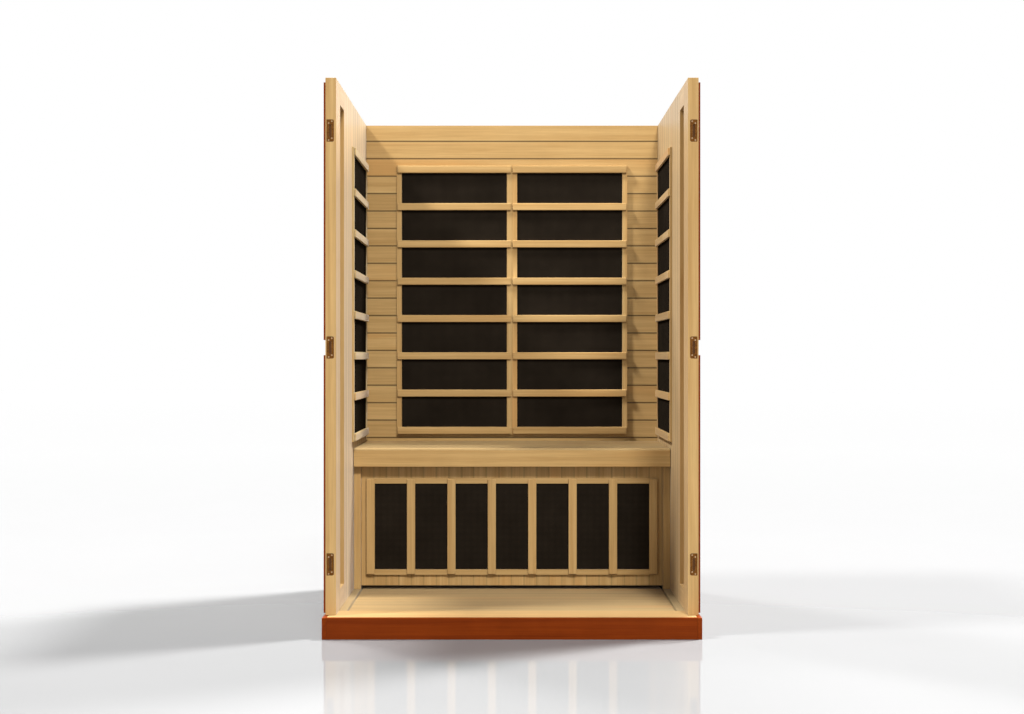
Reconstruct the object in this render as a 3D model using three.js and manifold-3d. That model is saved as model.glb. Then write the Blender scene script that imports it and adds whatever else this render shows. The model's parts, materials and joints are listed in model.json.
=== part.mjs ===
// Infrared sauna cabin: an open-fronted wooden shell with a floor base, a loose bench seat and
// five guarded heaters. Millimetres, +Z up, the open front towards -Y, the origin on the ground
// under the middle of the base.
import * as THREE from 'three';
import { mergeVertices } from 'three/addons/utils/BufferGeometryUtils.js';
import Module from 'manifold-3d';

const wasm = await Module();
wasm.setup();

// Gap left between pieces that are stood or screwed together
const fitGap = 0.25;

// Cabin
const cabinWidth = 1200;
const cabinDepth = 1000;
const wallHeight = 1713;
const frontLedge = 45;

// Base and floor
const baseHeight = 68;
const baseBoard = 14;
const frontBorder = 128;
const sideBorder = 24.5;
const floorThickness = 16;
const floorDrop = 2;
const floorJoint = 1.5;
const floorLip = 12;
const floorPitch = 56;
const floorGroove = { width: 2, depth: 1 };
const bearerWidth = 60;

// Wall panels
const stileThickness = 34;
const skinThickness = 5.25;
const frontStileWidth = 108;
const rearStileWidth = 60;
const backStileWidth = 100;
const topRailHeight = 68;
const midRailHeight = 80;
const bottomRailHeight = 67;
const recessWidth = 102;
const recessPanelThickness = 6;
const recessPanelLap = 20;
const skinBottomMargin = 8;
const skinMidGap = 48;
const skinTopMargin = 15;

// Tongue-and-groove boards
const liningThickness = 13;
const backBoardPitch = 67;
const backTopBoard = 60.5;
const sideBoardPitch = 67;
const wallGroove = { width: 4.25, depth: 3 };
const shortestBoard = 12;

// Bench
const seatHeight = 501;
const benchDepth = 440;
const fasciaHeight = 65.5;
const fasciaThickness = 24;
const fasciaRound = 10;
const seatThickness = 22;
const seatRound = 4;
const seatBoardGap = 6;
const seatEndClearance = 1.5;
const seatRearClearance = 4;
const battenWidth = 40;
const battenHeight = 20;
const battenClearance = 1.5;
const battenRearSetback = 12;
const supportThickness = 24.5;
const kickSetback = 35;
const kickThickness = 13;
const kickFloorGap = 11.5;
const kickTopClearance = 1.5;
const kickBoardPitch = 44.5;

// Heaters and their guards
const guardWidth = 442.5;
const guardLength = 1035;
const guardStile = 19.25;
const guardBar = 27.25;
const guardBarCount = 8;
const guardFrameThickness = 7;
const barThickness = 7;
const barLap = 2.25;
const barInset = 3;
const barCorner = 2.5;
const barEase = 2;
const guardSeam = 0.5;
const heaterBenchGap = 23.5;
const sideHeaterRearGap = 36;
const legBar = 29.25;
const legRail = 19.5;
const legSideMargin = 17;
const legTopMargin = 42;
const legBottomMargin = 38.5;
const heaterThickness = 4;
const heaterClearance = 1;
const terminalWidth = 32;
const terminalLength = 56;
const terminalDepth = 24;
const terminalOffset = 150;
const terminalClearance = 2;
const terminalRoot = 1;

// Clasp plates
const claspWidth = 23;
const claspHeight = 70;
const claspThickness = 3.5;
const claspPitch = 691;
const claspOffset = 1.5;
const claspSink = 0.25;
const claspInnerRound = 5;
const claspOuterRound = 1.5;
const claspSlotWidth = 8;
const claspSlotLength = 42;
const claspMortise = 16;
const claspScrewHole = 2.6;
const claspScrewInset = 6.5;
const claspScrewSpacing = 54;
const claspScrewStagger = 6;

// Levels and faces that several pieces share
const halfWidth = cabinWidth / 2;
const baseFront = -cabinDepth / 2;
const baseBack = cabinDepth / 2;
const wallFront = baseFront + frontLedge;
const frameOuter = halfWidth - skinThickness - fitGap;
const innerFace = frameOuter - stileThickness;
const cavityFace = innerFace + liningThickness + fitGap;
const backSkinFace = baseBack - skinThickness;
const backFrameOuter = backSkinFace - fitGap;
const backFace = backFrameOuter - stileThickness;
const backCavityFace = backFace + liningThickness + fitGap;
const wallRear = backFace - fitGap;
const wallBottom = baseHeight + fitGap;
const wallTop = baseHeight + wallHeight;
const skinHeight = (wallHeight - skinBottomMargin - skinMidGap - skinTopMargin) / 2;
const lowerSkin = [baseHeight + skinBottomMargin, baseHeight + skinBottomMargin + skinHeight];
const upperSkin = [wallTop - skinTopMargin - skinHeight, wallTop - skinTopMargin];
const middleLevel = (lowerSkin[1] + upperSkin[0]) / 2;
const midRail = [middleLevel - midRailHeight / 2, middleLevel + midRailHeight / 2];
const topRail = [wallTop - topRailHeight, wallTop];
const bottomRail = [wallBottom, baseHeight + bottomRailHeight];
const stileRear = wallFront + frontStileWidth;
const liningFront = stileRear + recessWidth;
const rearStileFront = wallRear - rearStileWidth;

const floorTop = baseHeight - floorDrop;
const floorUnderside = floorTop - floorThickness;
const floorEdge = baseFront + frontBorder;
const borderInner = innerFace - sideBorder;

const benchTop = baseHeight + seatHeight;
const benchFront = backFace - benchDepth;
const fasciaBack = benchFront + fasciaThickness;
const fasciaBottom = benchTop - fasciaHeight;
const seatUnderside = benchTop - seatThickness;
const battenBottom = seatUnderside - fitGap - battenHeight;
const supportInner = innerFace - supportThickness;
const kickFront = benchFront + kickSetback;
const kickBack = kickFront + kickThickness;
const kickBottom = baseHeight + kickFloorGap;
const kickTop = battenBottom - kickTopClearance;

// Finishes
function finish(colour, roughness, metalness = 0) {
  return new THREE.MeshStandardMaterial({ color: colour, roughness, metalness, flatShading: true });
}
const hemlock = finish(0xd4aa6e, 0.55);
const redStain = finish(0x773211, 0.4);
const heaterBlack = finish(0x28211c, 0.8);
const bronze = finish(0x734a20, 0.4, 0.9);

// A box between two values on each axis
function block(...ranges) {
  const sizes = ranges.map(([from, to]) => Math.abs(to - from));
  const middles = ranges.map(([from, to]) => (from + to) / 2);
  return new THREE.BoxGeometry(...sizes).translate(...middles);
}

function outline(points) {
  return new THREE.Shape(points.map(([u, v]) => new THREE.Vector2(u, v)));
}

// Extrusions of a plan [x, y] upwards, of an end section [y, z] across the cabin and of an end
// section [x, z] from front to back
function upright(shape, [from, to]) {
  return new THREE.ExtrudeGeometry(shape, { depth: to - from, bevelEnabled: false }).translate(0, 0, from);
}
const sectionAcross = new THREE.Matrix4().set(0, 0, 1, 0, 1, 0, 0, 0, 0, 1, 0, 0, 0, 0, 0, 1);
function across(shape, [from, to], curveSegments = 3) {
  const options = { depth: to - from, bevelEnabled: false, curveSegments };
  return new THREE.ExtrudeGeometry(shape, options).applyMatrix4(sectionAcross).translate(from, 0, 0);
}
function frontToBack(shape, [from, to], options = {}) {
  const settings = { depth: to - from, bevelEnabled: false, ...options };
  return new THREE.ExtrudeGeometry(shape, settings).rotateX(Math.PI / 2).translate(0, to, 0);
}

// Joins and cuts
function solidOf(geometry) {
  const bare = geometry.clone();
  bare.deleteAttribute('normal');
  bare.deleteAttribute('uv');
  const merged = mergeVertices(bare);
  return new wasm.Manifold(new wasm.Mesh({
    numProp: 3,
    vertProperties: new Float32Array(merged.attributes.position.array),
    triVerts: new Uint32Array(merged.index.array),
  }));
}
function geometryOf(solid) {
  const { vertProperties, triVerts } = solid.getMesh();
  const geometry = new THREE.BufferGeometry();
  geometry.setAttribute('position', new THREE.BufferAttribute(vertProperties, 3));
  geometry.setIndex(new THREE.BufferAttribute(triVerts, 1));
  geometry.computeVertexNormals();
  return geometry;
}
function join(...geometries) {
  return geometryOf(geometries.map(solidOf).reduce((body, piece) => body.add(piece)));
}
function cut(geometry, tools) {
  return geometryOf(tools.map(solidOf).reduce((body, tool) => body.subtract(tool), solidOf(geometry)));
}

const cabin = new THREE.Group();
cabin.name = 'infrared_sauna_cabin';
function add(name, geometry, material, parent = cabin) {
  const mesh = new THREE.Mesh(geometry, material);
  mesh.name = name;
  parent.add(mesh);
}

// Face profile of a run of tongue-and-groove boards: [along, into] with a V at every joint
function boardedFace(length, thickness, pitch, groove, firstBoard = pitch) {
  const points = [[0, 0]];
  for (let joint = firstBoard; joint < length - shortestBoard; joint += pitch) {
    const edge = groove.width / 2;
    points.push([joint - edge, 0], [joint, groove.depth], [joint + edge, 0]);
  }
  points.push([length, 0], [length, thickness], [0, thickness]);
  return points;
}

function roundedRectangle(width, height, radius, outerRadius = radius) {
  const [u, v] = [width / 2, height / 2];
  const shape = new THREE.Shape();
  shape.absarc(u - radius, v - radius, radius, 0, Math.PI / 2);
  shape.absarc(-u + outerRadius, v - outerRadius, outerRadius, Math.PI / 2, Math.PI);
  shape.absarc(-u + outerRadius, -v + outerRadius, outerRadius, Math.PI, 1.5 * Math.PI);
  shape.absarc(u - radius, -v + radius, radius, 1.5 * Math.PI, 2 * Math.PI);
  return shape;
}

// Hole with round ends, upright; a length of twice the radius gives a circle
function roundHole(x, z, radius, length = 2 * radius) {
  const straight = length / 2 - radius;
  const path = new THREE.Path();
  path.absarc(x, z + straight, radius, 0, Math.PI);
  path.absarc(x, z - straight, radius, Math.PI, 2 * Math.PI);
  return path;
}

// Base: red boards round the outside, pale sills inside them, the floor between the sills
function addBase() {
  const boardInner = halfWidth - baseBoard;
  const betweenBoards = [-boardInner + fitGap, boardInner - fitGap];
  const full = [0, baseHeight];
  for (const [name, side] of [['left', -1], ['right', 1]]) {
    const board = [side * boardInner, side * halfWidth];
    add(`base_${name}_board`, block(board, [baseFront, baseBack], full), redStain);
  }
  add('base_front_board', block(betweenBoards, [baseFront, baseFront + baseBoard], full), redStain);
  add('base_rear_beam', block(betweenBoards, [backFace, baseBack], full), redStain);

  const lipTop = floorUnderside - fitGap;
  const lipInner = borderInner - floorLip;
  const sillFront = baseFront + baseBoard + fitGap;
  const sillRear = backFace - fitGap;
  const sillLip = [-lipInner + fitGap, lipInner - fitGap];
  add('sill_front', join(
    block(betweenBoards, [sillFront, floorEdge], full),
    block(sillLip, [sillFront, floorEdge + floorLip], [0, lipTop]),
  ), hemlock);
  for (const [name, side] of [['left', -1], ['right', 1]]) {
    const section = [
      [boardInner - fitGap, 0],
      [boardInner - fitGap, baseHeight],
      [borderInner, baseHeight],
      [borderInner, lipTop],
      [lipInner, lipTop],
      [lipInner, 0],
    ];
    const mirrored = outline(section.map(([x, z]) => [side * x, z]));
    add(`sill_${name}`, frontToBack(mirrored, [floorEdge + fitGap, sillRear]), hemlock);
  }

  const floorFront = floorEdge + floorJoint;
  const boards = boardedFace(sillRear - floorFront, floorThickness, floorPitch, floorGroove);
  const floor = outline(boards.map(([along, into]) => [floorFront + along, floorTop - into]));
  add('floor_panel', across(floor, [-borderInner + floorJoint, borderInner - floorJoint]), hemlock);

  const bearer = [floorEdge + floorLip + fitGap, sillRear];
  const bearerTop = floorUnderside - fitGap;
  add('floor_bearer', block([-bearerWidth / 2, bearerWidth / 2], bearer, [0, bearerTop]), hemlock);
}

// Clasp plates, let into the front edge of a side wall; the rounder corners point inwards
const claspLevels = { top: middleLevel + claspPitch, middle: middleLevel, bottom: middleLevel - claspPitch };
const claspPocket = claspThickness + claspSink + fitGap;
function claspX(side) {
  return side * (innerFace + stileThickness / 2 + claspOffset);
}
function claspOutline(clearance) {
  const width = claspWidth + 2 * clearance;
  const height = claspHeight + 2 * clearance;
  return roundedRectangle(width, height, claspInnerRound + clearance, claspOuterRound + clearance);
}
function claspSlot(clearance) {
  return roundHole(0, 0, claspSlotWidth / 2 + clearance, claspSlotLength + 2 * clearance);
}
function claspPlate() {
  const plate = claspOutline(0);
  plate.holes.push(claspSlot(0));
  const column = claspWidth / 2 - claspScrewInset;
  for (const x of [-column, column]) {
    const shift = Math.sign(x) * claspScrewStagger / 2;
    for (const end of [-1, 1]) {
      plate.holes.push(roundHole(x, end * claspScrewSpacing / 2 + shift, claspScrewHole));
    }
  }
  return frontToBack(plate, [0, claspThickness], { curveSegments: 2 });
}
function placeClasp(geometry, side, level, depth) {
  const turned = side > 0 ? geometry.rotateZ(Math.PI) : geometry;
  return turned.translate(claspX(side), wallFront + depth, level);
}

// Heaters: a guard's local frame has x across, z along its bars' run and -y out of the wall
function heaterGuard({ width, length, side, bar }) {
  const ring = roundedRectangle(width, length, barCorner);
  const hole = roundedRectangle(width - 2 * side, length - 2 * side, barCorner);
  ring.holes.push(new THREE.Path(hole.getPoints(1)));
  const frame = frontToBack(ring, [-fitGap - guardFrameThickness, -fitGap], { curveSegments: 1 });

  const front = -fitGap - guardFrameThickness - barThickness;
  const back = -fitGap - guardFrameThickness + barLap;
  const easing = {
    depth: back - front - 2 * barEase,
    bevelEnabled: true,
    bevelSegments: 1,
    bevelThickness: barEase,
    bevelSize: barEase,
    bevelOffset: -barEase,
    curveSegments: 1,
  };
  const lowest = -length / 2 + barInset + bar / 2;
  const pitch = -2 * lowest / (guardBarCount - 1);
  const bars = [];
  for (let index = 0; index < guardBarCount; index += 1) {
    const face = roundedRectangle(width - 2 * barInset, bar, barCorner);
    const stick = new THREE.ExtrudeGeometry(face, easing).rotateX(Math.PI / 2);
    bars.push(stick.translate(0, back - barEase, lowest + index * pitch));
  }
  return join(frame, ...bars);
}

function terminalBlock(clearance, depth) {
  const half = [terminalWidth / 2 + clearance, terminalLength / 2 + clearance];
  const [low, high] = [terminalOffset - half[1], terminalOffset + half[1]];
  return block([-half[0], half[0]], depth, [low, high]);
}
function heaterPanel({ width, length, side }) {
  const half = [width / 2 - side - heaterClearance, length / 2 - side - heaterClearance];
  const plate = block([-half[0], half[0]], [-fitGap - heaterThickness, -fitGap], [-half[1], half[1]]);
  return join(plate, terminalBlock(0, [-fitGap - terminalRoot, terminalDepth]));
}

const tallHeater = {
  width: guardWidth,
  length: guardLength,
  side: guardStile,
  bar: guardBar,
};
const legLevels = [kickBottom + legBottomMargin, fasciaBottom - legTopMargin];
const legHeater = {
  width: legLevels[1] - legLevels[0],
  length: 2 * (supportInner - legSideMargin),
  side: legRail,
  bar: legBar,
};
const heaterMiddle = benchTop + heaterBenchGap + guardLength / 2;
const backHeaterX = (guardWidth + guardSeam) / 2;
const sideHeaterY = backFace - sideHeaterRearGap - guardWidth / 2;
const quarter = Math.PI / 2;

function heaterPlace(x, y, z, turn) {
  const place = new THREE.Group();
  place.position.set(x, y, z);
  place.rotation.set(...turn);
  place.updateMatrix();
  cabin.add(place);
  return place;
}
const heaters = {
  back_left: { form: tallHeater, place: heaterPlace(-backHeaterX, backFace, heaterMiddle, [0, 0, 0]) },
  back_right: { form: tallHeater, place: heaterPlace(backHeaterX, backFace, heaterMiddle, [0, 0, 0]) },
  left: { form: tallHeater, place: heaterPlace(-innerFace, sideHeaterY, heaterMiddle, [0, 0, quarter]) },
  right: { form: tallHeater, place: heaterPlace(innerFace, sideHeaterY, heaterMiddle, [0, 0, -quarter]) },
  leg: {
    form: legHeater,
    place: heaterPlace(0, kickFront, (legLevels[0] + legLevels[1]) / 2, [0, quarter, 0]),
  },
};
function addHeaters() {
  for (const [name, { form, place }] of Object.entries(heaters)) {
    add(`${name}_heater`, heaterPanel(form), heaterBlack, place);
    add(`${name}_heater_guard`, heaterGuard(form), hemlock, place);
  }
}

// Hole through a lining for the terminal box of each heater on it
function terminalHoles(names) {
  const through = [-terminalClearance, terminalDepth + terminalClearance];
  const hole = (name) => terminalBlock(terminalClearance, through).applyMatrix4(heaters[name].place.matrix);
  return names.map(hole);
}

// Side walls: a frame with a lining inside, a tall recess behind the front stile and skins outside
function addSideWall(name, side) {
  const label = (piece) => `${name}_wall_${piece}`;
  const fullHeight = [wallBottom, wallTop];
  const plan = (points) => outline(points.map(([x, y]) => [side * x, y]));
  const [face, outer] = [side * innerFace, side * frameOuter];

  const stile = block([face, outer], [wallFront, stileRear], fullHeight);
  const slot = new THREE.Shape(claspSlot(fitGap).getPoints(2));
  const pockets = Object.values(claspLevels).flatMap((level) => [
    frontToBack(claspOutline(fitGap), [-claspPocket, claspPocket], { curveSegments: 2 }),
    frontToBack(slot, [0, claspMortise]),
  ].map((pocket) => placeClasp(pocket, side, level, 0)));
  add(label('front_stile'), cut(stile, pockets), hemlock);
  for (const [place, level] of Object.entries(claspLevels)) {
    add(`clasp_${name}_${place}`, placeClasp(claspPlate(), side, level, claspSink), bronze);
  }

  const cavity = side * cavityFace;
  add(label('rear_stile'), block([cavity, outer], [rearStileFront, wallRear], fullHeight), hemlock);

  // Top and bottom rails come out flush with the lining at the recess, and pass behind it elsewhere
  const railFront = stileRear + fitGap;
  const railRear = rearStileFront - fitGap;
  const flushRail = plan([
    [innerFace, railFront],
    [frameOuter, railFront],
    [frameOuter, railRear],
    [cavityFace, railRear],
    [cavityFace, liningFront - fitGap],
    [innerFace, liningFront - fitGap],
  ]);
  add(label('top_rail'), upright(flushRail, topRail), hemlock);
  add(label('bottom_rail'), upright(flushRail, bottomRail), hemlock);

  // The recess's back slips behind the lining, and the middle rail is notched for it
  const panelRear = liningFront + recessPanelLap;
  const panelOuter = cavityFace + recessPanelThickness;
  const panelLevels = [bottomRail[1] + fitGap, topRail[0] - fitGap];
  const panelX = [cavity, side * panelOuter];
  add(label('recess_panel'), block(panelX, [railFront, panelRear], panelLevels), hemlock);
  const notchedRail = plan([
    [panelOuter + fitGap, railFront],
    [frameOuter, railFront],
    [frameOuter, railRear],
    [cavityFace, railRear],
    [cavityFace, panelRear + fitGap],
    [panelOuter + fitGap, panelRear + fitGap],
  ]);
  add(label('mid_rail'), upright(notchedRail, midRail), hemlock);

  const boards = boardedFace(wallRear - liningFront, liningThickness, sideBoardPitch, wallGroove);
  const lining = plan(boards.map(([along, into]) => [innerFace + into, liningFront + along]));
  add(label('lining'), cut(upright(lining, fullHeight), terminalHoles([name])), hemlock);

  const skinX = [side * (frameOuter + fitGap), side * halfWidth];
  add(label('lower_skin'), block(skinX, [wallFront, wallRear], lowerSkin), redStain);
  add(label('upper_skin'), block(skinX, [wallFront, wallRear], upperSkin), redStain);
}

// Back wall: as wide as the cabin, so the side walls stand against its stiles
function addBackWall() {
  const fullHeight = [wallBottom, wallTop];
  const stileInner = halfWidth - backStileWidth;
  for (const [name, side] of [['left', -1], ['right', 1]]) {
    const plan = [
      [halfWidth, backFace],
      [halfWidth, backFrameOuter],
      [stileInner, backFrameOuter],
      [stileInner, backCavityFace],
      [innerFace, backCavityFace],
      [innerFace, backFace],
    ];
    const mirrored = outline(plan.map(([x, y]) => [side * x, y]));
    add(`back_wall_${name}_stile`, upright(mirrored, fullHeight), hemlock);
  }
  const railX = [-stileInner + fitGap, stileInner - fitGap];
  for (const [name, levels] of [['top', topRail], ['mid', midRail], ['bottom', bottomRail]]) {
    add(`back_wall_${name}_rail`, block(railX, [backCavityFace, backFrameOuter], levels), hemlock);
  }

  const height = wallTop - wallBottom;
  const boards = boardedFace(height, liningThickness, backBoardPitch, wallGroove, backTopBoard);
  const lining = outline(boards.map(([along, into]) => [backFace + into, wallTop - along]));
  const liningX = [-innerFace + fitGap, innerFace - fitGap];
  const holes = terminalHoles(['back_left', 'back_right']);
  add('back_wall_lining', cut(across(lining, liningX), holes), hemlock);

  for (const [name, levels] of [['lower', lowerSkin], ['upper', upperSkin]]) {
    const skin = block([-halfWidth, halfWidth], [backSkinFace, baseBack], levels);
    add(`back_wall_${name}_skin`, skin, redStain);
  }
}

// Bench: end panels and a kick panel that stay, and a loose seat that lies on the end panels
function addBench() {
  const supportLevels = [baseHeight + fitGap, seatUnderside - fitGap];
  for (const [name, side] of [['left', -1], ['right', 1]]) {
    const x = [side * supportInner, side * (innerFace - fitGap)];
    add(`bench_${name}_support`, block(x, [fasciaBack + fitGap, wallRear], supportLevels), hemlock);
    const battenOuter = supportInner - battenClearance;
    const battenX = [side * (battenOuter - battenWidth), side * battenOuter];
    const battenY = [fasciaBack + fitGap, backFace - seatRearClearance - battenRearSetback];
    const battenZ = [battenBottom, seatUnderside - fitGap];
    add(`bench_batten_${name}`, block(battenX, battenY, battenZ), hemlock);
  }

  const kickX = [-supportInner + fitGap, supportInner - fitGap];
  const boards = boardedFace(kickX[1] - kickX[0], kickThickness, kickBoardPitch, wallGroove);
  const kick = outline(boards.map(([along, into]) => [kickX[0] + along, kickFront + into]));
  add('bench_kick_panel', cut(upright(kick, [kickBottom, kickTop]), terminalHoles(['leg'])), hemlock);

  // Board section [y, z] with its upper edges rounded
  const seatX = [-innerFace + seatEndClearance, innerFace - seatEndClearance];
  const roundedBoard = ([front, back], bottom, frontRound, backRound) => {
    const shape = new THREE.Shape();
    shape.moveTo(front, bottom);
    shape.lineTo(back, bottom);
    shape.absarc(back - backRound, benchTop - backRound, backRound, 0, Math.PI / 2);
    shape.absarc(front + frontRound, benchTop - frontRound, frontRound, Math.PI / 2, Math.PI);
    shape.lineTo(front, bottom);
    return shape;
  };
  const fascia = roundedBoard([benchFront, fasciaBack], fasciaBottom, fasciaRound, seatRound);
  add('bench_fascia', across(fascia, seatX), hemlock);
  const names = ['front', 'middle', 'rear'];
  const seatFront = fasciaBack + fitGap;
  const seatSpan = backFace - seatRearClearance - seatFront;
  const boardWidth = (seatSpan - (names.length - 1) * seatBoardGap) / names.length;
  names.forEach((name, index) => {
    const front = seatFront + index * (boardWidth + seatBoardGap);
    const board = roundedBoard([front, front + boardWidth], seatUnderside, seatRound, seatRound);
    add(`bench_board_${name}`, across(board, seatX), hemlock);
  });
}

addBase();
addSideWall('left', -1);
addSideWall('right', 1);
addBackWall();
addHeaters();
addBench();

export default cabin;
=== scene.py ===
# Infrared sauna cabin: finishes, fastenings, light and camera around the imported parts. Metres, +Z up.
import json
import math

import bmesh
import bpy
from mathutils import Matrix, Vector


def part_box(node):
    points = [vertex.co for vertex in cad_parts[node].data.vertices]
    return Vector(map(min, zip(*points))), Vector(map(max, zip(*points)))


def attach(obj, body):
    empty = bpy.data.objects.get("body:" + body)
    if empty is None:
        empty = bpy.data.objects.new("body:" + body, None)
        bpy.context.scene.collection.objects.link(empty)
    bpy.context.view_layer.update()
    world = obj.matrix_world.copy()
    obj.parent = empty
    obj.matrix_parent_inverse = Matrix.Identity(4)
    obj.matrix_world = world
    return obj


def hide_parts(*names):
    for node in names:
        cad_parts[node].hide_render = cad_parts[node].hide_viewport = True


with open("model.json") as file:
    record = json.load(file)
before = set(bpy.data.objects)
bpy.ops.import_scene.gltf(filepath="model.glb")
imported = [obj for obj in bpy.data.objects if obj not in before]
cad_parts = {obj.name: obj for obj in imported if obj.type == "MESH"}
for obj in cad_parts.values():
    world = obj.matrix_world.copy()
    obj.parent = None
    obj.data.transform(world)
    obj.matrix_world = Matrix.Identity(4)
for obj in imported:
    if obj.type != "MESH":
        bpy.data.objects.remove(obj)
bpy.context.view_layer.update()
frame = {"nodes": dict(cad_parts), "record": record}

cadNodes = frame["nodes"]
bodyOf = {name: body for body, names in frame["record"]["behaviour"]["bodies"].items() for name in names}
millimetre = 0.001
axisLetters = "xyz"
print("frame loaded:", len(cadNodes), "parts")


# Small helpers for node trees

def addNode(tree, kind, **settings):
    node = tree.nodes.new(kind)
    for key, value in settings.items():
        setattr(node, key, value)
    return node


def feed(tree, source, target):
    # a socket is wired, anything else is typed into the field
    if isinstance(source, bpy.types.NodeSocket):
        tree.links.new(source, target)
    else:
        target.default_value = source


def maths(tree, operation, first, second=0.0, clamp=False):
    node = addNode(tree, "ShaderNodeMath", operation=operation, use_clamp=clamp)
    feed(tree, first, node.inputs[0])
    feed(tree, second, node.inputs[1])
    return node.outputs[0]


def stretch(tree, vector, factors):
    node = addNode(tree, "ShaderNodeVectorMath", operation="MULTIPLY")
    feed(tree, vector, node.inputs[0])
    node.inputs[1].default_value = factors
    return node.outputs[0]


def scaled(tree, vector, factor):
    node = addNode(tree, "ShaderNodeVectorMath", operation="SCALE")
    feed(tree, vector, node.inputs[0])
    feed(tree, factor, node.inputs["Scale"])
    return node.outputs[0]


def separate(tree, vector):
    node = addNode(tree, "ShaderNodeSeparateXYZ")
    feed(tree, vector, node.inputs[0])
    return node.outputs


def cloud(tree, vector, detail=2.0, roughness=0.5):
    node = addNode(tree, "ShaderNodeTexNoise", noise_dimensions="3D")
    feed(tree, vector, node.inputs["Vector"])
    node.inputs["Scale"].default_value = 1.0
    node.inputs["Detail"].default_value = detail
    node.inputs["Roughness"].default_value = roughness
    return node.outputs[0]


def blendColours(tree, amount, first, second):
    node = addNode(tree, "ShaderNodeMix", data_type="RGBA", blend_type="MIX")
    feed(tree, amount, node.inputs["Factor"])
    feed(tree, first, node.inputs[6])
    feed(tree, second, node.inputs[7])
    return node.outputs[2]


def remap(tree, value, low, high, newLow=0.0, newHigh=1.0):
    node = addNode(tree, "ShaderNodeMapRange", clamp=True)
    feed(tree, value, node.inputs["Value"])
    ends = {"From Min": low, "From Max": high, "To Min": newLow, "To Max": newHigh}
    for socket, number in ends.items():
        feed(tree, number, node.inputs[socket])
    return node.outputs[0]


def newGroup(name, inputs, outputs):
    group = bpy.data.node_groups.new(name, "ShaderNodeTree")
    for label, kind, start in inputs:
        socketType = "NodeSocket" + kind
        socket = group.interface.new_socket(name=label, in_out="INPUT", socket_type=socketType)
        if start is not None:
            socket.default_value = start
    for label, kind in outputs:
        group.interface.new_socket(name=label, in_out="OUTPUT", socket_type="NodeSocket" + kind)
    return group, addNode(group, "NodeGroupInput").outputs, addNode(group, "NodeGroupOutput").inputs


def placeGroup(tree, group, **values):
    node = addNode(tree, "ShaderNodeGroup", node_tree=group)
    for label, value in values.items():
        feed(tree, value, node.inputs[label])
    return node.outputs


# Grain of sawn softwood: x runs along the board, y across it, z into it

woodForm = {
    "pieceStep": 83.0,  # keeps the board numbers of one piece away from the next one's
    "logShift": (11.0, 5.0, 5.0),  # how far apart in the log two boards may lie
    "jointFade": 1.5,
    "bowStretch": (0.7, 5.0, 5.0),
    "bowReach": 0.05,
    "ringSharpness": 3.0,
    "ringShare": 0.35,
    "ringRelief": 0.5,
    "streakStretch": (1.3, 60.0, 60.0),
    "streakShare": 1.3,
    "fibreStretch": (10.0, 620.0, 620.0),
    "fibreShare": 0.6,
    "broadStretch": (1.1, 9.0, 9.0),
    "plainToFlamed": (0.4, 0.65),
    "sapToHeart": (0.5, 0.75),
    "heartBoards": (0.3, 1.0),
    "darkShare": 0.35,
    "roughness": 0.32,
    "streakRoughness": 0.12,
}


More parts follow.
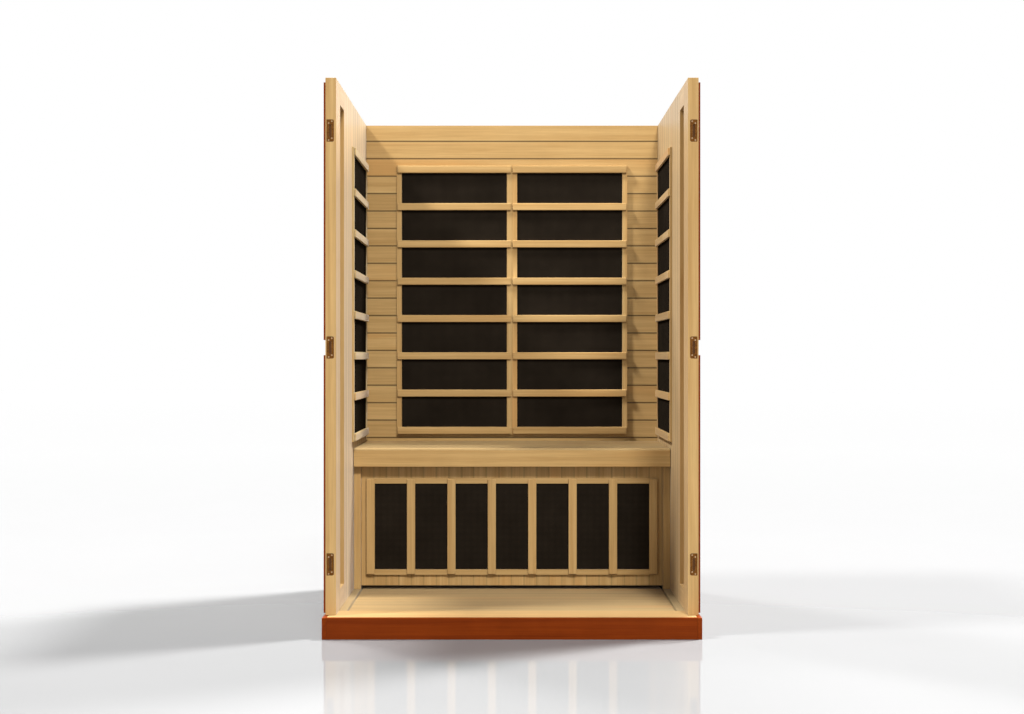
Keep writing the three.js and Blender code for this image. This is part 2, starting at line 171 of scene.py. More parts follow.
def makeWoodGrain(form=woodForm):
    group, given, result = newGroup(
        "woodGrain",
        [("Vector", "Vector", None), ("boardPitch", "Float", 0.067), ("boardStart", "Float", 0.0),
         ("ringPitch", "Float", 0.006), ("pale", "Color", None), ("dark", "Color", None),
         ("warm", "Color", None), ("contrast", "Float", 1.0), ("toneSpread", "Float", 0.1),
         ("jointHalf", "Float", 0.0021), ("jointShade", "Float", 0.6)],
        [("colour", "Color"), ("roughness", "Float"), ("height", "Float")],
    )
    fromStart = maths(group, "SUBTRACT", separate(group, given["Vector"])["Y"], given["boardStart"])
    along = maths(group, "DIVIDE", fromStart, given["boardPitch"])
    board = maths(group, "FLOOR", along)
    # the joints are painted darker: partly dark dirt in the joint, partly painted shadow in the gap
    # between boards
    toJoint = maths(group, "MULTIPLY", maths(group, "PINGPONG", along, 0.5), given["boardPitch"])
    fade = maths(group, "MULTIPLY", given["jointHalf"], form["jointFade"])
    inJoint = maths(group, "SUBTRACT", 1.0, remap(group, toJoint, given["jointHalf"], fade))
    shade = maths(group, "SUBTRACT", 1.0, maths(group, "MULTIPLY", inJoint, given["jointShade"]))
    piece = addNode(group, "ShaderNodeObjectInfo").outputs["Random"]
    seed = maths(group, "ADD", maths(group, "MULTIPLY", piece, form["pieceStep"]), board)
    draw = addNode(group, "ShaderNodeTexWhiteNoise", noise_dimensions="1D")
    feed(group, seed, draw.inputs["W"])
    tone = draw.outputs["Value"]

    # each board is cut from another place in the log
    shift = addNode(group, "ShaderNodeVectorMath", operation="MULTIPLY_ADD")
    feed(group, draw.outputs["Color"], shift.inputs[0])
    shift.inputs[1].default_value = form["logShift"]
    feed(group, given["Vector"], shift.inputs[2])
    place = shift.outputs[0]

    # a slow bow bends the growth lines
    slow = cloud(group, stretch(group, place, form["bowStretch"]), 1.0)
    bow = maths(group, "MULTIPLY", slow, form["bowReach"])
    across = maths(group, "ADD", separate(group, place)["Y"], bow)
    phase = maths(group, "DIVIDE", across, given["ringPitch"])
    wave = maths(group, "SINE", maths(group, "MULTIPLY", phase, math.tau))
    ring = maths(group, "POWER", remap(group, wave, -1.0, 1.0), form["ringSharpness"])

    streak = cloud(group, stretch(group, place, form["streakStretch"]), 4.0, 0.6)
    fibre = cloud(group, stretch(group, place, form["fibreStretch"]), 2.0, 0.6)
    broad = cloud(group, stretch(group, place, form["broadStretch"]), 2.0)

    flame = maths(group, "MULTIPLY", ring, remap(group, broad, *form["plainToFlamed"]))
    lines = maths(group, "MULTIPLY", flame, form["ringShare"])
    soft = maths(group, "MULTIPLY", maths(group, "SUBTRACT", streak, 0.5), form["streakShare"])
    fine = maths(group, "MULTIPLY", maths(group, "SUBTRACT", fibre, 0.5), form["fibreShare"])
    depth = maths(group, "ADD", maths(group, "ADD", lines, soft), fine)
    contrasted = maths(group, "MULTIPLY", depth, given["contrast"])
    amount = maths(group, "ADD", contrasted, form["darkShare"], clamp=True)
    grained = blendColours(group, amount, given["pale"], given["dark"])
    heartwood = remap(group, broad, *form["sapToHeart"])
    heart = maths(group, "MULTIPLY", heartwood, remap(group, tone, *form["heartBoards"]))
    warmed = blendColours(group, heart, grained, given["warm"])

    spread = maths(group, "MULTIPLY", maths(group, "SUBTRACT", tone, 0.5), given["toneSpread"])
    level = maths(group, "MULTIPLY", maths(group, "ADD", spread, 1.0), shade)
    streaked = maths(group, "MULTIPLY", streak, form["streakRoughness"])
    feed(group, scaled(group, warmed, level), result["colour"])
    feed(group, maths(group, "ADD", streaked, form["roughness"]), result["roughness"])
    relief = maths(group, "MULTIPLY", ring, form["ringRelief"])
    feed(group, maths(group, "ADD", relief, fibre), result["height"])
    return group


# Rubbed edges: how far the rounded normal leans from the flat one, broken up by a cloud

wearForm = {"samples": 4, "patchStretch": (60.0, 60.0, 60.0), "patchBand": (0.35, 0.65)}


def makeEdgeWear(form=wearForm):
    group, given, result = newGroup(
        "edgeWear",
        [("Vector", "Vector", None), ("reach", "Float", 0.0015), ("gain", "Float", 3.0)],
        [("mask", "Float")],
    )
    rounded = addNode(group, "ShaderNodeBevel", samples=form["samples"])
    feed(group, given["reach"], rounded.inputs["Radius"])
    lean = addNode(group, "ShaderNodeVectorMath", operation="DOT_PRODUCT")
    feed(group, rounded.outputs[0], lean.inputs[0])
    feed(group, addNode(group, "ShaderNodeNewGeometry").outputs["Normal"], lean.inputs[1])
    edge = maths(group, "SUBTRACT", 1.0, lean.outputs["Value"])
    uneven = cloud(group, stretch(group, given["Vector"], form["patchStretch"]), 3.0)
    patch = remap(group, uneven, *form["patchBand"])
    worn = maths(group, "MULTIPLY", maths(group, "MULTIPLY", edge, given["gain"]), patch, clamp=True)
    feed(group, worn, result["mask"])
    return group


# Faint unevenness of a finished surface, from handling and dust

mottleBand = (0.3, 0.7)


def makeSoftMottle():
    group, given, result = newGroup(
        "softMottle",
        [("Vector", "Vector", None), ("size", "Float", 0.05),
         ("low", "Float", 0.95), ("high", "Float", 1.05)],
        [("value", "Float")],
    )
    fine = maths(group, "DIVIDE", 1.0, given["size"])
    spread = cloud(group, scaled(group, given["Vector"], fine), 4.0, 0.6)
    feed(group, remap(group, spread, *mottleBand, given["low"], given["high"]), result["value"])
    return group


woodGrain = makeWoodGrain()
edgeWear = makeEdgeWear()
softMottle = makeSoftMottle()
print("shader groups made")


# Materials

def newMaterial(name):
    material = bpy.data.materials.new(name)
    material.use_nodes = True
    tree = material.node_tree
    shader = tree.nodes["Principled BSDF"]
    coords = addNode(tree, "ShaderNodeTexCoord").outputs["Object"]
    return material, tree, shader, coords


def turned(tree, coords, order):
    # re-orders the axes, so that the grain runs along the first letter
    parts = separate(tree, coords)
    joined = addNode(tree, "ShaderNodeCombineXYZ")
    for index, letter in enumerate(order):
        feed(tree, parts[letter.upper()], joined.inputs[index])
    return joined.outputs[0]


def mottled(tree, coords, mottle):
    size, low, high = mottle
    return placeGroup(tree, softMottle, Vector=coords, size=size, low=low, high=high)["value"]


def roughen(tree, shader, height, strength, distance):
    bump = addNode(tree, "ShaderNodeBump")
    bump.inputs["Strength"].default_value = strength
    bump.inputs["Distance"].default_value = distance
    feed(tree, height, bump.inputs["Height"])
    feed(tree, bump.outputs[0], shader.inputs["Normal"])


hemlockLook = {
    "pale": (0.92, 0.60, 0.246, 1.0),
    "dark": (0.62, 0.34, 0.108, 1.0),
    "warm": (0.85, 0.45, 0.146, 1.0),
    "contrast": 1.15,
    "toneSpread": 0.12,
    "ringPitch": 0.0055,
    "mottle": (0.16, 0.96, 1.03),  # size, least and most brightness
    "bounce": 0.27,
    "specular": 0.24,
    "sheen": 0.27,
    "sheenRoughness": 0.4,
    "bump": 0.18,
    "bumpDepth": 0.0003,
}
paleWoodAndReflectionLook = {  # linings of the side walls: paler, whiter wood, partly a painted whitish reflection where the walls are seen edge-on
    **hemlockLook,
    "pale": (0.92, 0.635, 0.29, 1.0),
    "dark": (0.62, 0.37, 0.135, 1.0),
    "warm": (0.85, 0.49, 0.18, 1.0),
}
floorLook = {  # floor boards
    **hemlockLook,
    "pale": (0.84, 0.59, 0.273, 1.0),
    "dark": (0.57, 0.345, 0.127, 1.0),
    "warm": (0.78, 0.455, 0.17, 1.0),
}
litSillLook = {  # front sill: a brighter copy, painted light where the sill lies lit in front of the walls
    **hemlockLook,
    "pale": (0.93, 0.60, 0.24, 1.0),
    "dark": (0.69, 0.39, 0.128, 1.0),
}
shadedBorderLook = {  # side sills: a darker copy, painted shade where they lie in the walls' shadow
    **hemlockLook,
    "pale": (0.70, 0.51, 0.25, 1.0),
    "dark": (0.49, 0.31, 0.12, 1.0),
    "warm": (0.65, 0.39, 0.16, 1.0),
}
shadedBenchLook = {  # seat boards: darker and greyer, painted shade on the seat
    **hemlockLook,
    "pale": (0.70, 0.50, 0.236, 1.0),
    "dark": (0.48, 0.285, 0.103, 1.0),
    "warm": (0.65, 0.375, 0.14, 1.0),
    "sheen": 0.1,
}
fasciaLook = {**hemlockLook, "sheen": 0.08, "specular": 0.12}
litGuardLook = {  # guard of the left heater: a paler, whiter copy, painted light on the guard that faces the lamps from the right
    **hemlockLook,
    "pale": (0.96, 0.70, 0.325, 1.0),
    "dark": (0.66, 0.41, 0.15, 1.0),
    "warm": (0.88, 0.53, 0.20, 1.0),
}
wholePiece = (20.0, -10.0)  # pitch and start that keep a piece one board
hemlockMade = {}


def hemlock(order, boards=wholePiece, jointShade=0.6, look=hemlockLook):
    key = (order, boards, jointShade, look["pale"], look["sheen"])
    if key in hemlockMade:
        return hemlockMade[key]
    material, tree, shader, coords = newMaterial("hemlock_" + order + str(len(hemlockMade)))
    grain = placeGroup(
        tree, woodGrain, Vector=turned(tree, coords, order),
        boardPitch=boards[0], boardStart=boards[1], ringPitch=look["ringPitch"],
        pale=look["pale"], dark=look["dark"], warm=look["warm"], contrast=look["contrast"],
        toneSpread=look["toneSpread"], jointShade=jointShade,
    )
    handled = mottled(tree, coords, look["mottle"])
    # light that one board throws on another is held back, so deep corners stay dark
    ray = addNode(tree, "ShaderNodeLightPath").outputs["Is Diffuse Ray"]
    level = maths(tree, "MULTIPLY", handled, remap(tree, ray, 0.0, 1.0, 1.0, look["bounce"]))
    feed(tree, scaled(tree, grain["colour"], level), shader.inputs["Base Color"])
    feed(tree, grain["roughness"], shader.inputs["Roughness"])
    shader.inputs["Specular IOR Level"].default_value = look["specular"]
    shader.inputs["Sheen Weight"].default_value = look["sheen"]
    shader.inputs["Sheen Roughness"].default_value = look["sheenRoughness"]
    roughen(tree, shader, grain["height"], look["bump"], look["bumpDepth"])
    hemlockMade[key] = material
    return material


redStainLook = {
    "pale": (0.33, 0.055, 0.006, 1.0),
    "dark": (0.16, 0.019, 0.003, 1.0),
    "warm": (0.39, 0.07, 0.007, 1.0),
    "worn": (0.42, 0.14, 0.035, 1.0),
    "contrast": 1.1,
    "toneSpread": 0.1,
    "ringPitch": 0.009,
    "mottle": (0.09, 0.92, 1.06),
    "wearReach": 0.0018,
    "wearGain": 2.0,
    "bump": 0.12,
    "bumpDepth": 0.0003,
    "specular": 0.06,
    "coat": 0.03,
    "coatRoughness": 0.25,
}
redStainMade = {}


def redStain(order, look=redStainLook):
    if order in redStainMade:
        return redStainMade[order]
    material, tree, shader, coords = newMaterial("red_stain_" + order)
    grain = placeGroup(
        tree, woodGrain, Vector=turned(tree, coords, order),
        boardPitch=wholePiece[0], boardStart=wholePiece[1], ringPitch=look["ringPitch"],
        pale=look["pale"], dark=look["dark"], warm=look["warm"], contrast=look["contrast"],
        toneSpread=look["toneSpread"],
    )
    wear = placeGroup(tree, edgeWear, Vector=coords, reach=look["wearReach"], gain=look["wearGain"])
    stained = scaled(tree, grain["colour"], mottled(tree, coords, look["mottle"]))
    feed(tree, blendColours(tree, wear["mask"], stained, look["worn"]), shader.inputs["Base Color"])
    feed(tree, grain["roughness"], shader.inputs["Roughness"])
    shader.inputs["Specular IOR Level"].default_value = look["specular"]
    shader.inputs["Coat Weight"].default_value = look["coat"]
    shader.inputs["Coat Roughness"].default_value = look["coatRoughness"]
    roughen(tree, shader, grain["height"], look["bump"], look["bumpDepth"])
    redStainMade[order] = material
    return material


heaterLook = {
    "thread": (0.046, 0.033, 0.0225, 1.0),
    "gap": (0.015, 0.012, 0.0085, 1.0),
    "pitch": 0.0042,
    "threadShare": 0.62,
    "threadEdge": 0.08,
    "mottle": (0.12, 0.82, 1.15),
    "roughness": 0.85,
    "specular": 0.0,
    "bump": 0.5,
    "bumpDepth": 0.0006,
}


def heaterMesh(look=heaterLook):
    material, tree, shader, coords = newMaterial("heater_mesh")
    parts = separate(tree, coords)
    # a panel faces x or y, so the sum of both runs along it
    level = maths(tree, "ADD", parts["X"], parts["Y"])
    edge = 0.5 - look["threadShare"] / 2
    threads = []
    for run in (level, parts["Z"]):
        cell = maths(tree, "PINGPONG", maths(tree, "DIVIDE", run, look["pitch"]), 0.5)
        threads.append(remap(tree, cell, edge - look["threadEdge"], edge + look["threadEdge"]))
    cloth = maths(tree, "MULTIPLY", threads[0], threads[1])
    handled = mottled(tree, coords, look["mottle"])
    woven = blendColours(tree, cloth, look["gap"], look["thread"])
    feed(tree, scaled(tree, woven, handled), shader.inputs["Base Color"])
    feed(tree, maths(tree, "MULTIPLY", handled, look["roughness"]), shader.inputs["Roughness"])
    shader.inputs["Specular IOR Level"].default_value = look["specular"]
    roughen(tree, shader, cloth, look["bump"], look["bumpDepth"])
    return material


bronzeLook = {
    "body": (0.29, 0.112, 0.021, 1.0),
    "tarnish": (0.11, 0.040, 0.008, 1.0),
    "worn": (0.66, 0.38, 0.14, 1.0),
    "mottle": (0.006, 0.0, 1.0),
    "wearReach": 0.0009,
    "wearGain": 4.0,
    "roughness": 0.35,
    "rubbed": 0.15,
    "metallic": 0.85,
    "bump": 0.1,
    "bumpDepth": 0.0003,
}
cupLook = {
    **bronzeLook,
    "body": (0.18, 0.070, 0.018, 1.0),
    "tarnish": (0.11, 0.042, 0.010, 1.0),
    "worn": (0.22, 0.10, 0.03, 1.0),
    "roughness": 0.48,
    "metallic": 0.5,
}
screwLook = {
    "body": (0.72, 0.52, 0.32, 1.0),
    "tarnish": (0.45, 0.28, 0.13, 1.0),
    "mottle": (0.004, 0.0, 1.0),
    "roughness": 0.34,
    "rubbed": 0.12,
    "metallic": 0.9,
}


def agedMetal(name, look):
    material, tree, shader, coords = newMaterial(name)
    handled = mottled(tree, coords, look["mottle"])
    aged = blendColours(tree, handled, look["tarnish"], look["body"])
    if "worn" in look:
        wear = placeGroup(tree, edgeWear, Vector=coords, reach=look["wearReach"], gain=look["wearGain"])
        aged = blendColours(tree, wear["mask"], aged, look["worn"])
    feed(tree, aged, shader.inputs["Base Color"])
    rub = maths(tree, "MULTIPLY", handled, look["rubbed"])
    feed(tree, maths(tree, "ADD", rub, look["roughness"]), shader.inputs["Roughness"])
    shader.inputs["Metallic"].default_value = look["metallic"]
    if "bump" in look:
        roughen(tree, shader, handled, look["bump"], look["bumpDepth"])
    return material


print("materials ready")


# Pieces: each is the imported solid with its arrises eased, and the finish on it

easing = {
    "merge": 0.01 * millimetre,
    "flatAngle": math.radians(0.5),
    "sharpAngle": math.radians(60),
    "segments": 2,
    "profile": 0.5,
    "faceWeight": 100,
}


def eased(node, ease):
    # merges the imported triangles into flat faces, then rounds the sharp outer edges
    shape = bmesh.new()
    shape.from_mesh(cadNodes[node].data)
    bmesh.ops.remove_doubles(shape, verts=shape.verts, dist=easing["merge"])
    bmesh.ops.dissolve_limit(
        shape, angle_limit=easing["flatAngle"], verts=shape.verts, edges=shape.edges,
        use_dissolve_boundaries=False,
    )
    sharp = [
        edge for edge in shape.edges
        if edge.is_convex and edge.calc_face_angle(0.0) > easing["sharpAngle"]
    ]
    bmesh.ops.bevel(
        shape, geom=sharp, offset=ease, segments=easing["segments"], profile=easing["profile"],
        affect="EDGES", clamp_overlap=True,
    )
    return shape


def newPiece(name, shape):
    mesh = bpy.data.meshes.new(name)
    shape.to_mesh(mesh)
    shape.free()
    piece = bpy.data.objects.new(name, mesh)
    bpy.context.scene.collection.objects.link(piece)
    return piece, mesh


def finishPiece(node, shape, materials):
    piece, mesh = newPiece(node + "_finish", shape)
    for material in materials:
        mesh.materials.append(material)
    for polygon in mesh.polygons:
        polygon.use_smooth = True
    flatten = piece.modifiers.new("flatFaces", "WEIGHTED_NORMAL")
    flatten.keep_sharp = True
    flatten.weight = easing["faceWeight"]
    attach(piece, bodyOf[node])
    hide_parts(node)


def longestFirst(node):
    low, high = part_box(node)
    size = high - low
    order = sorted(range(3), key=lambda axis: -size[axis])
    return "".join(axisLetters[axis] for axis in order)


# boards of each boarded piece: grain order, board pitch in mm, and where a joint lies; shade sets how dark
# the joints are painted, partly a dark joint and partly painted shadow of the gap
sideLining = {"order": "zyx", "pitch": 67.0, "joint": ("bottom", 0.0), "shade": 0.4, "look": paleWoodAndReflectionLook}
boardedPieces = {
    "back_wall_lining": {"order": "xzy", "pitch": 67.0, "joint": ("top", -60.5), "shade": 0.68},
    "left_wall_lining": sideLining,
    "right_wall_lining": sideLining,
    "floor_panel": {
        "order": "xyz", "pitch": 56.0, "joint": ("bottom", 0.0), "shade": 0.3,
        "look": floorLook, "rebate": True,
    },
    "bench_kick_panel": {"order": "zxy", "pitch": 44.5, "joint": ("bottom", 0.0), "shade": 0.16},
}
boardEase = 0.4 * millimetre
stickEase = 1.2 * millimetre
panelEase = 0.8 * millimetre
rebate = {"width": 4.0 * millimetre, "depth": 7.0 * millimetre, "slope": 0.3 * millimetre}


def cutRebates(shape, node):
    # both ends of the floor step down, which leaves a dark line beside the side sills
    low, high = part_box(node)
    middle = (low.z + high.z) / 2
    for end, inward in ((low.x, 1), (high.x, -1)):
        for inset in (rebate["width"], rebate["width"] + rebate["slope"]):
            bmesh.ops.bisect_plane(
                shape, geom=shape.verts[:] + shape.edges[:] + shape.faces[:],
                plane_co=(end + inward * inset, 0.0, 0.0), plane_no=(1.0, 0.0, 0.0),
            )
        for vert in shape.verts:
            isEnd = (vert.co.x - end) * inward < rebate["width"] + rebate["slope"] / 2
            if isEnd and vert.co.z > middle:
                vert.co.z -= rebate["depth"]


def addBoarded(node, boards):
    low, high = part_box(node)
    axis = axisLetters.index(boards["order"][1])
    end, offset = boards["joint"]
    joint = (high if end == "top" else low)[axis] + offset * millimetre
    rhythm = (boards["pitch"] * millimetre, round(joint, 5))
    look = boards.get("look", hemlockLook)
    boarded = hemlock(boards["order"], rhythm, boards["shade"], look)
    shape = eased(node, boardEase)
    if "rebate" in boards:
        cutRebates(shape, node)
    for face in shape.faces:
        # the outer sides of the first and last board carry no joint
        centre = face.calc_center_median()[axis]
        atEnd = min(centre - low[axis], high[axis] - centre) < boardEase
        face.material_index = 1 if atEnd else 0
    finishPiece(node, shape, [boarded, hemlock(boards["order"])])


guard = {"frameDepth": 7.3 * millimetre, "ease": 0.6 * millimetre, "squareLean": 0.99}


def addGuard(node, look):
    # bars lie on the frame: what stands further from the wall than the frame is bar
    shape = eased(node, guard["ease"])
    low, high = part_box(node)
    size = high - low
    run = max(range(3), key=lambda axis: size[axis])
    depth = min(range(3), key=lambda axis: size[axis])
    across = 3 - run - depth
    wall = max(low[depth], high[depth], key=abs)
    barSides = {-1: set(), 1: set()}
    for face in shape.faces:
        centre = face.calc_center_median()
        isBar = abs(centre[depth] - wall) > guard["frameDepth"]
        face.material_index = 0 if isBar else 1
        lean = face.normal[run]
        if isBar and abs(lean) > guard["squareLean"]:
            barSides[round(lean)].add(round(centre[run], 4))
    tops, bottoms = sorted(barSides[1]), sorted(barSides[-1])
    gaps = [(top + bottom) / 2 for top, bottom in zip(tops, bottoms[1:])]
    pitch = (gaps[-1] - gaps[0]) / (len(gaps) - 1)
    letters = [axisLetters[axis] for axis in (across, run, depth)]
    barOrder = "".join(letters)
    frameOrder = letters[1] + letters[0] + letters[2]
    bars = hemlock(barOrder, (round(pitch, 5), round(gaps[0], 5)), look=look)
    finishPiece(node, shape, [bars, hemlock(frameOrder, look=look)])


# each clasp plate has four cross-head screws and a shallow metal cup in its slot; sizes in mm
screw = {
    "headRadius": 2.7, "topRadius": 2.3, "headHeight": 0.7, "sides": 20,
    "slotHalf": 0.38, "slotReach": 1.5, "slotDepth": 0.5, "turn": 0.6,
    "sideways": 5.0, "upward": 27.0, "stagger": 3.0,
}
cup = {"radius": 3.9, "straight": 34.0, "front": 0.5, "depth": 3.2, "wall": 0.4, "sides": 16}
clasp = {"ease": 0.3 * millimetre, "sink": 0.25 * millimetre}


def addLoop(shape, place, points, depth):
    # a ring of points facing -y, sunk into the plate by depth
    return [shape.verts.new(place + Vector((across, depth, up)) * millimetre) for across, up in points]


def joinLoops(shape, first, second):
    for index in range(len(first)):
        shape.faces.new((first[index - 1], first[index], second[index], second[index - 1]))


def fillLoops(shape, *loops):
    edges = [
        shape.edges.get((loop[index - 1], vert))
        for loop in loops for index, vert in enumerate(loop)
    ]
    bmesh.ops.triangle_fill(shape, use_beauty=True, edges=edges)


def roundPoints(radius, sides, straight=0.0):
    # a circle, or an oval with straight flanks
    points = []
    for step in range(sides):
        angle = math.tau * (step + 0.5) / sides
        rise = math.copysign(straight / 2, math.sin(angle))
        points.append((radius * math.cos(angle), radius * math.sin(angle) + rise))
    return points


def addHead(shape, place, turn):
    # a chamfered disc with a plus-shaped recess
    half, reach = screw["slotHalf"], screw["slotReach"]
    arm = [Vector((half, reach)), Vector((half, half)), Vector((reach, half))]
    quarters = [Matrix.Rotation(turn - quarter * math.pi / 2, 2) for quarter in range(4)]
    plus = [spin @ corner for spin in quarters for corner in arm]
    top = -screw["headHeight"]
    foot = addLoop(shape, place, roundPoints(screw["headRadius"], screw["sides"]), 0.0)
    rim = addLoop(shape, place, roundPoints(screw["topRadius"], screw["sides"]), top)
    mouth = addLoop(shape, place, plus, top)
    pit = addLoop(shape, place, plus, top + screw["slotDepth"])
    joinLoops(shape, foot, rim)
    joinLoops(shape, mouth, pit)
    fillLoops(shape, rim, mouth)
    fillLoops(shape, pit)
    shape.faces.new(foot)


def addCup(shape, place):
    # an oval dish with a thin wall
    outside = roundPoints(cup["radius"], cup["sides"], cup["straight"])
    inside = roundPoints(cup["radius"] - cup["wall"], cup["sides"], cup["straight"])
    rim = addLoop(shape, place, outside, cup["front"])
    end = addLoop(shape, place, outside, cup["depth"])
    mouth = addLoop(shape, place, inside, cup["front"])
    bottom = addLoop(shape, place, inside, cup["depth"] - cup["wall"])
    joinLoops(shape, rim, end)
    joinLoops(shape, mouth, rim)
    joinLoops(shape, bottom, mouth)
    shape.faces.new(end)
    shape.faces.new(bottom)


def addFitting(node, suffix, shape, metal):
    bmesh.ops.recalc_face_normals(shape, faces=shape.faces)
    piece, mesh = newPiece(node + suffix, shape)
    mesh.materials.append(metal)
    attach(piece, bodyOf[node])


def claspSeat(node):
    # how far back a plate goes to lie in its pocket, just under the stile's front edge
    wall = node.split("_")[1]
    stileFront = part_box(wall + "_wall_front_stile")[0].y
    return Vector((0.0, stileFront + clasp["sink"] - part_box(node)[0].y, 0.0))


def addClasp(node, plateFinish, screwFinish, cupFinish):
    seat = claspSeat(node)
    plate = eased(node, clasp["ease"])
    bmesh.ops.translate(plate, verts=plate.verts, vec=seat)
    finishPiece(node, plate, [plateFinish])
    low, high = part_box(node)
    centre = Vector(((low.x + high.x) / 2, low.y, (low.z + high.z) / 2)) + seat
    hand = -1 if centre.x > 0 else 1  # the right wall's plates are staggered the other way
    heads = bmesh.new()
    for index, (side, level) in enumerate(((-1, -1), (1, -1), (-1, 1), (1, 1))):
        rise = level * screw["upward"] + hand * side * screw["stagger"]
        place = centre + Vector((side * screw["sideways"], 0.0, rise)) * millimetre
        addHead(heads, place, screw["turn"] * (index + 1))
    addFitting(node, "_screws", heads, screwFinish)
    dish = bmesh.new()
    addCup(dish, centre)
    addFitting(node, "_cup", dish, cupFinish)


stickLooks = {
    "sill_front": litSillLook,
    "sill_left": shadedBorderLook,
    "sill_right": shadedBorderLook,
    "bench_fascia": fasciaLook,
    "bench_board_front": shadedBenchLook,
    "bench_board_middle": shadedBenchLook,
    "bench_board_rear": shadedBenchLook,
}
lipSlope = 0.25


def addStick(node):
    order = longestFirst(node)
    shape = eased(node, stickEase)
    finishes = [hemlock(order, look=stickLooks.get(node, hemlockLook))]
    if node == "bench_fascia":
        # the upward faces of the rounded lip take the seat's darker finish: painted shade that holds down
        # the light falling on the lip
        finishes.append(hemlock(order, look=shadedBenchLook))
        for face in shape.faces:
            face.material_index = 1 if face.normal.z > lipSlope else 0
    finishPiece(node, shape, finishes)


plainSticks = [
    name for name in cadNodes
    if name not in boardedPieces and not name.startswith(("base_", "clasp_"))
    and not name.endswith(("_skin", "_heater", "_heater_guard"))
]
redPieces = [name for name in cadNodes if name.startswith("base_") or name.endswith("_skin")]
heaters = [name for name in cadNodes if name.endswith("_heater")]
guards = [name for name in cadNodes if name.endswith("_heater_guard")]
clasps = [name for name in cadNodes if name.startswith("clasp_")]

for name, boards in boardedPieces.items():
    addBoarded(name, boards)
for name in plainSticks:
    addStick(name)
for name in redPieces:
    finishPiece(name, eased(name, panelEase), [redStain(longestFirst(name))])
for name in guards:
    addGuard(name, litGuardLook if name == "left_heater_guard" else hemlockLook)
meshCloth = heaterMesh()
for name in heaters:
    finishPiece(name, eased(name, panelEase), [meshCloth])
claspMetals = (
    agedMetal("bronze_plate", bronzeLook),
    agedMetal("screw_brass", screwLook),
    agedMetal("bronze_cup", cupLook),
)
for name in clasps:
    addClasp(name, *claspMetals)


# Studio: white surround, pale polished floor, soft lights

studio = {
    "floorSize": 60.0,
    "floorColour": (0.14, 0.14, 0.14, 1.0),
    "floorBounce": (0.05, 0.05, 0.05, 1.0),
    "floorMottle": (0.4, 0.99, 1.01),
    "floorRoughness": 0.03,
    "floorSpecular": 0.11,
    "white": (1.0, 1.0, 1.0, 1.0),
    "surround": 1.0,
    "gloss": 1.0,
    "fillLow": 0.45,
    "fillHigh": 0.06,
}
# strength 1.0 lights a facing white surface to white; "only" names the pieces that a light reaches
backWallPieces = [
    name + "_finish" for name in cadNodes
    if name.startswith(("back_wall_lining", "back_left_heater", "back_right_heater"))
]
floorOnly = ["studio_floor"]
lights = {
    "highRight": {"towards": (0.50, 0.24, 1.0), "strength": 0.90, "spread": 9},
    "floorHighRight": {"towards": (0.50, 0.24, 1.0), "strength": 1.9, "spread": 9, "only": floorOnly},
    "floorRight": {"towards": (1.0, 0.62, 0.55), "strength": 4.1, "spread": 14, "only": floorOnly},
    "floorLeft": {"towards": (-1.0, -0.24, 1.25), "strength": 0.8, "spread": 10, "only": floorOnly},
    "floorRearLeft": {"towards": (-1.0, 1.0, 1.3), "strength": 0.75, "spread": 9, "only": floorOnly},
    "midRight": {"towards": (1.0, 0.68, 0.75), "strength": 0.16, "spread": 9},
    "lowRight": {"towards": (1.0, 0.60, 0.22), "strength": 0.40, "spread": 9},
    "left": {"towards": (-1.0, -0.24, 1.25), "strength": 0.74, "spread": 10},
    "backWallLeft": {"towards": (-1.0, -0.3, 1.25), "strength": 0.87, "spread": 6, "only": backWallPieces},
    "rearLeft": {"towards": (-1.0, 1.2, 1.8), "strength": 0.42, "spread": 9},
    "front": {"towards": (0.22, -1.0, 1.15), "strength": 0.47, "spread": 10},
    "frontRight": {"towards": (0.5, -1.0, 1.2), "strength": 0.11, "spread": 11},
}


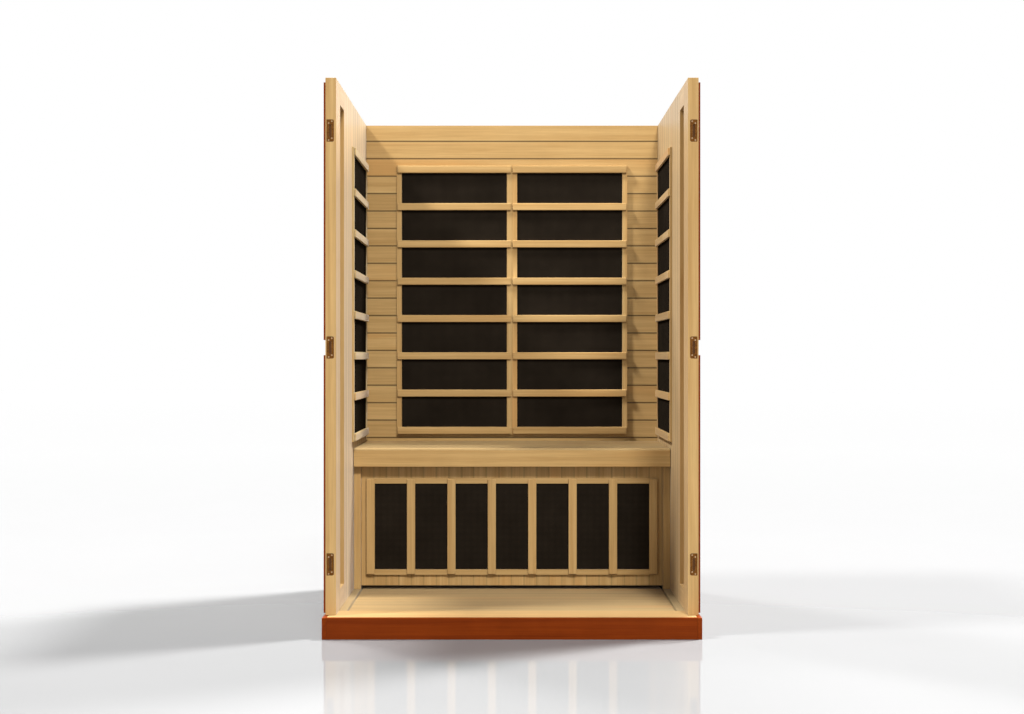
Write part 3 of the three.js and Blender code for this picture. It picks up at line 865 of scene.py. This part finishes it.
def addFloor():
    half = studio["floorSize"] / 2
    mesh = bpy.data.meshes.new("studio_floor")
    corners = [(-half, -half, 0.0), (half, -half, 0.0), (half, half, 0.0), (-half, half, 0.0)]
    mesh.from_pydata(corners, [], [(0, 1, 2, 3)])
    floor = bpy.data.objects.new("studio_floor", mesh)
    bpy.context.scene.collection.objects.link(floor)
    material, tree, shader, coords = newMaterial("studio_floor")
    handled = mottled(tree, coords, studio["floorMottle"])
    ray = addNode(tree, "ShaderNodeLightPath").outputs["Is Diffuse Ray"]
    seen = blendColours(tree, ray, studio["floorColour"], studio["floorBounce"])
    feed(tree, scaled(tree, seen, handled), shader.inputs["Base Color"])
    shader.inputs["Roughness"].default_value = studio["floorRoughness"]
    shader.inputs["Specular IOR Level"].default_value = studio["floorSpecular"]
    mesh.materials.append(material)


def addSurround():
    # white to the camera and in reflections, dimmer as light on matt surfaces, least from overhead
    world = bpy.data.worlds.new("studio_surround")
    world.use_nodes = True
    tree = world.node_tree
    ray = addNode(tree, "ShaderNodeLightPath").outputs
    height = separate(tree, addNode(tree, "ShaderNodeTexCoord").outputs["Generated"])["Z"]
    fill = remap(tree, height, 0.0, 1.0, studio["fillLow"], studio["fillHigh"])
    unseen = remap(tree, ray["Is Glossy Ray"], 0.0, 1.0, fill, studio["gloss"])
    strength = remap(tree, ray["Is Camera Ray"], 0.0, 1.0, unseen, studio["surround"])
    tree.nodes["Background"].inputs["Color"].default_value = studio["white"]
    feed(tree, strength, tree.nodes["Background"].inputs["Strength"])
    bpy.context.scene.world = world


def addLight(name, light):
    lamp = bpy.data.lights.new(name, "SUN")
    lamp.energy = math.pi * light["strength"]
    lamp.angle = math.radians(light["spread"])
    holder = bpy.data.objects.new(name, lamp)
    holder.rotation_euler = Vector(light["towards"]).to_track_quat("Z", "Y").to_euler()
    holder.visible_glossy = False  # no bright disc in the polished floor
    bpy.context.scene.collection.objects.link(holder)
    if "only" in light:
        reach = bpy.data.collections.new(name + "_reach")
        for piece in light["only"]:
            reach.objects.link(bpy.data.objects[piece])
        holder.light_linking.receiver_collection = reach


camera = {"place": (0.0, -4.865, 0.891), "tilt": 90.0, "lens": 48.68, "sensor": 36.0}


def addCamera():
    lens = bpy.data.cameras.new("viewpoint")
    lens.sensor_width = camera["sensor"]
    lens.lens = camera["lens"]
    holder = bpy.data.objects.new("viewpoint", lens)
    holder.location = camera["place"]
    holder.rotation_euler = (math.radians(camera["tilt"]), 0.0, 0.0)
    bpy.context.scene.collection.objects.link(holder)
    bpy.context.scene.camera = holder


addCamera()
addFloor()
addSurround()
for name, light in lights.items():
    addLight(name, light)
bpy.context.scene.view_settings.view_transform = "Standard"
print("studio set")
